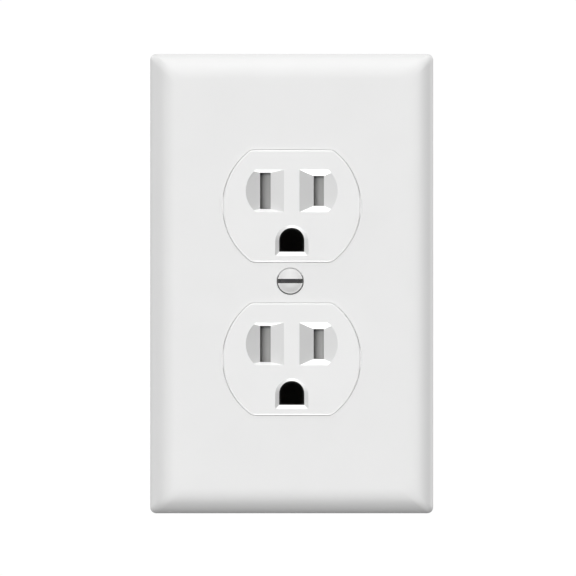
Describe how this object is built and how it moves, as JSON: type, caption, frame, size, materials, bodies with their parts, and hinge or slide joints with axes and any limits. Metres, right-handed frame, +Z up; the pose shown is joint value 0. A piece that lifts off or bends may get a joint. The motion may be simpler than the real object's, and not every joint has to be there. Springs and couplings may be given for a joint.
{
  "type": "duplex wall outlet",
  "caption": "Duplex wall outlet with bevelled cover plate, funnelled blade slots and D ground holes, safety shutters, steel strap, contacts and side wiring terminals.",
  "frame": {"origin": "the centre of the bounding box: midway across the cover plate, and 9.3 mm behind the wall surface", "axes": "+Y goes into the wall, so the face looks along -Y; +Z is up; +X is right for someone facing the outlet"},
  "size_m": [0.0704, 0.0313, 0.1142],
  "materials": {
    "white_plastic": "smooth moulded, semi-gloss",
    "shutter_plastic": "smooth moulded",
    "dark_plastic": "fine moulded texture",
    "zinc_steel": "zinc plated",
    "spring_steel": "drawn wire",
    "nickel": "nickel plated",
    "brass": "stamped",
    "green_steel": "green plated",
    "screw_paint": "painted to match the plate",
    "fibre": "pressed fibre"
  },
  "bodies": {
    "device": {"receptacle_face": "white_plastic", "upper_shutter_frame": "dark_plastic", "lower_shutter_frame": "dark_plastic", "rear_housing": "dark_plastic", "upper_shutter_spring": "spring_steel", "lower_shutter_spring": "spring_steel", "mounting_strap": "zinc_steel", "upper_left_assembly_screw": "zinc_steel", "upper_right_assembly_screw": "zinc_steel", "lower_left_assembly_screw": "zinc_steel", "lower_right_assembly_screw": "zinc_steel", "upper_ground_contact": "brass", "lower_ground_contact": "brass", "upper_ground_rivet": "brass", "lower_ground_rivet": "brass", "neutral_bus": "brass", "hot_bus": "brass", "upper_screw_retainer": "fibre", "lower_screw_retainer": "fibre"},
    "upper_shutter": {"upper_shutter": "shutter_plastic"},
    "lower_shutter": {"lower_shutter": "shutter_plastic"},
    "wall_plate": {"wall_plate": "white_plastic"},
    "plate_screw": {"plate_screw": "screw_paint"},
    "ground_clamp": {"ground_clamp": "green_steel"},
    "ground_screw": {"ground_screw": "green_steel"},
    "upper_mounting_screw": {"upper_mounting_screw": "zinc_steel"},
    "lower_mounting_screw": {"lower_mounting_screw": "zinc_steel"},
    "neutral_upper_clamp": {"neutral_upper_clamp": "nickel"},
    "neutral_upper_terminal_screw": {"neutral_upper_terminal_screw": "nickel"},
    "neutral_lower_clamp": {"neutral_lower_clamp": "nickel"},
    "neutral_lower_terminal_screw": {"neutral_lower_terminal_screw": "nickel"},
    "hot_upper_clamp": {"hot_upper_clamp": "brass"},
    "hot_upper_terminal_screw": {"hot_upper_terminal_screw": "brass"},
    "hot_lower_clamp": {"hot_lower_clamp": "brass"},
    "hot_lower_terminal_screw": {"hot_lower_terminal_screw": "brass"}
  },
  "joints": [
    {"name": "upper_shutter_slide", "type": "slide", "parent": "device", "child": "upper_shutter", "axis": [1, 0, 0], "range_m": [0, 0.0026], "stiffness_N_per_m": 250, "springref_m": -0.002, "deforming": ["upper_shutter_spring"]},
    {"name": "lower_shutter_slide", "type": "slide", "parent": "device", "child": "lower_shutter", "axis": [1, 0, 0], "range_m": [0, 0.0026], "stiffness_N_per_m": 250, "springref_m": -0.002, "deforming": ["lower_shutter_spring"]},
    {"name": "wall_plate_lift", "type": "slide", "parent": "device", "child": "wall_plate", "axis": [0, -1, 0], "range_m": [0, 0.00595]},
    {"name": "plate_screw_turn", "type": "hinge", "parent": "wall_plate", "child": "plate_screw", "pos_m": [-0.00037, -0.00932, 0.00064], "axis": [0, -1, 0], "range_deg": [0, 2700]},
    {"name": "neutral_upper_clamp_lift", "type": "slide", "parent": "device", "child": "neutral_upper_clamp", "axis": [-1, 0, 0], "range_m": [0, 0.003]},
    {"name": "neutral_upper_terminal_screw_turn", "type": "hinge", "parent": "neutral_upper_clamp", "child": "neutral_upper_terminal_screw", "pos_m": [-0.01245, 0.00367, 0.00928], "axis": [-1, 0, 0], "range_deg": [0, 1361]},
    {"name": "neutral_lower_clamp_lift", "type": "slide", "parent": "device", "child": "neutral_lower_clamp", "axis": [-1, 0, 0], "range_m": [0, 0.003]},
    {"name": "neutral_lower_terminal_screw_turn", "type": "hinge", "parent": "neutral_lower_clamp", "child": "neutral_lower_terminal_screw", "pos_m": [-0.01245, 0.00367, -0.00872], "axis": [-1, 0, 0], "range_deg": [0, 1361]},
    {"name": "hot_upper_clamp_lift", "type": "slide", "parent": "device", "child": "hot_upper_clamp", "axis": [1, 0, 0], "range_m": [0, 0.003]},
    {"name": "hot_upper_terminal_screw_turn", "type": "hinge", "parent": "hot_upper_clamp", "child": "hot_upper_terminal_screw", "pos_m": [0.01245, 0.00367, 0.00928], "axis": [1, 0, 0], "range_deg": [0, 1361]},
    {"name": "hot_lower_clamp_lift", "type": "slide", "parent": "device", "child": "hot_lower_clamp", "axis": [1, 0, 0], "range_m": [0, 0.003]},
    {"name": "hot_lower_terminal_screw_turn", "type": "hinge", "parent": "hot_lower_clamp", "child": "hot_lower_terminal_screw", "pos_m": [0.01245, 0.00367, -0.00872], "axis": [1, 0, 0], "range_deg": [0, 1361]},
    {"name": "ground_clamp_lift", "type": "slide", "parent": "device", "child": "ground_clamp", "axis": [0, 0, -1], "range_m": [0, 0.003]},
    {"name": "ground_screw_turn", "type": "hinge", "parent": "ground_clamp", "child": "ground_screw", "pos_m": [-0.0085, 0.00267, -0.03557], "axis": [0, 0, -1], "range_deg": [0, 1361]},
    {"name": "upper_mounting_screw_turn", "type": "hinge", "parent": "device", "child": "upper_mounting_screw", "pos_m": [0, -0.00932, 0.04193], "axis": [0, -1, 0], "continuous": true},
    {"name": "lower_mounting_screw_turn", "type": "hinge", "parent": "device", "child": "lower_mounting_screw", "pos_m": [0, -0.00932, -0.04137], "axis": [0, -1, 0], "continuous": true}
  ],
  "couplings": [
    {"joint": "plate_screw_turn", "follows": "wall_plate_lift", "rad_per_m": 7913.3},
    {"joint": "neutral_upper_terminal_screw_turn", "follows": "neutral_upper_clamp_lift", "rad_per_m": 7913.3},
    {"joint": "neutral_lower_terminal_screw_turn", "follows": "neutral_lower_clamp_lift", "rad_per_m": 7913.3},
    {"joint": "hot_upper_terminal_screw_turn", "follows": "hot_upper_clamp_lift", "rad_per_m": 7913.3},
    {"joint": "hot_lower_terminal_screw_turn", "follows": "hot_lower_clamp_lift", "rad_per_m": 7913.3},
    {"joint": "ground_screw_turn", "follows": "ground_clamp_lift", "rad_per_m": 7913.3}
  ]
}
